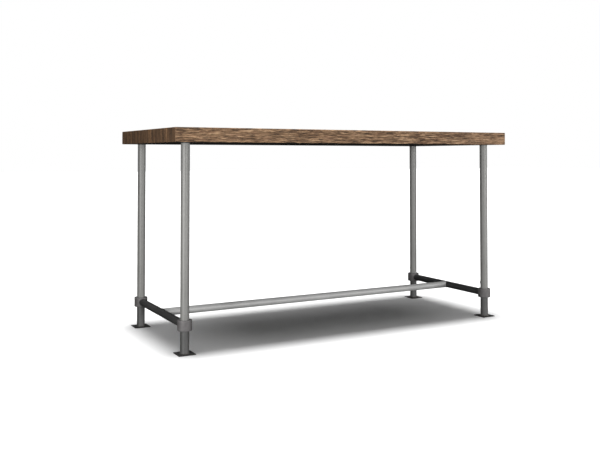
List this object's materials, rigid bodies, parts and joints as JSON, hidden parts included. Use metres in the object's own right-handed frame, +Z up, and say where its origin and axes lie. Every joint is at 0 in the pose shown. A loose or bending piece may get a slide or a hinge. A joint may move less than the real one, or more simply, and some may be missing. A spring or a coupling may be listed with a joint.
{
  "type": "standing desk",
  "caption": "Height adjustable standing desk: thick plank top on four telescopic round steel legs with collars, square base plates and an H-shaped floor rail frame.",
  "frame": {"origin": "on the floor below the middle of the top, with the desk at its lowest height", "axes": "+X along the desk's length to its right end, +Y from its front to its back, +Z up"},
  "size_m": [2, 0.865, 1.06],
  "materials": {
    "reclaimed_wood": "weathered brown plank, open grain",
    "light_steel": "drawn tube, light grey",
    "dark_steel": "dark grey, satin",
    "cast_iron": "cast, dark grey",
    "black_plate": "near black, satin",
    "screw_steel": "black oxide",
    "nylon": "black, matt"
  },
  "bodies": {
    "base": {"base_plate_front_left": "black_plate", "foot_tube_front_left": "dark_steel", "guide_post_front_left": "light_steel", "guide_cap_front_left": "nylon", "collar_front_left": "cast_iron", "collar_screw_front_left": "screw_steel", "stretcher_screw_front_left": "screw_steel", "base_plate_front_right": "black_plate", "foot_tube_front_right": "dark_steel", "guide_post_front_right": "light_steel", "guide_cap_front_right": "nylon", "collar_front_right": "cast_iron", "collar_screw_front_right": "screw_steel", "stretcher_screw_front_right": "screw_steel", "base_plate_back_left": "black_plate", "foot_tube_back_left": "dark_steel", "guide_post_back_left": "light_steel", "guide_cap_back_left": "nylon", "collar_back_left": "cast_iron", "collar_screw_back_left": "screw_steel", "stretcher_screw_back_left": "screw_steel", "base_plate_back_right": "black_plate", "foot_tube_back_right": "dark_steel", "guide_post_back_right": "light_steel", "guide_cap_back_right": "nylon", "collar_back_right": "cast_iron", "collar_screw_back_right": "screw_steel", "stretcher_screw_back_right": "screw_steel", "side_stretcher_left": "dark_steel", "side_stretcher_right": "dark_steel", "long_stretcher": "light_steel"},
    "desk_top": {"top_plank_1": "reclaimed_wood", "top_plank_2": "reclaimed_wood", "top_plank_3": "reclaimed_wood", "top_plank_4": "reclaimed_wood", "top_plank_5": "reclaimed_wood", "top_plank_6": "reclaimed_wood", "leg_tube_front_left": "light_steel", "guide_bush_front_left": "nylon", "lock_boss_front_left": "light_steel", "leg_flange_front_left": "black_plate", "leg_tube_front_right": "light_steel", "guide_bush_front_right": "nylon", "lock_boss_front_right": "light_steel", "leg_flange_front_right": "black_plate", "leg_tube_back_left": "light_steel", "guide_bush_back_left": "nylon", "lock_boss_back_left": "light_steel", "leg_flange_back_left": "black_plate", "leg_tube_back_right": "light_steel", "guide_bush_back_right": "nylon", "lock_boss_back_right": "light_steel", "leg_flange_back_right": "black_plate"},
    "lock_screw_front_left": {"lock_screw_front_left": "screw_steel"},
    "lock_screw_front_right": {"lock_screw_front_right": "screw_steel"},
    "lock_screw_back_left": {"lock_screw_back_left": "screw_steel"},
    "lock_screw_back_right": {"lock_screw_back_right": "screw_steel"}
  },
  "joints": [
    {"name": "height_adjust", "type": "slide", "parent": "base", "child": "desk_top", "axis": [0, 0, 1], "range_m": [0, 0.2]},
    {"name": "lock_turn_front_left", "type": "hinge", "parent": "desk_top", "child": "lock_screw_front_left", "pos_m": [-0.917, -0.3395, 0.19], "axis": [0, 1, 0], "range_deg": [0, 720]},
    {"name": "lock_turn_front_right", "type": "hinge", "parent": "desk_top", "child": "lock_screw_front_right", "pos_m": [0.917, -0.3395, 0.19], "axis": [0, 1, 0], "range_deg": [0, 720]},
    {"name": "lock_turn_back_left", "type": "hinge", "parent": "desk_top", "child": "lock_screw_back_left", "pos_m": [-0.917, 0.3395, 0.19], "axis": [0, 1, 0], "range_deg": [0, 720]},
    {"name": "lock_turn_back_right", "type": "hinge", "parent": "desk_top", "child": "lock_screw_back_right", "pos_m": [0.917, 0.3395, 0.19], "axis": [0, 1, 0], "range_deg": [0, 720]}
  ]
}
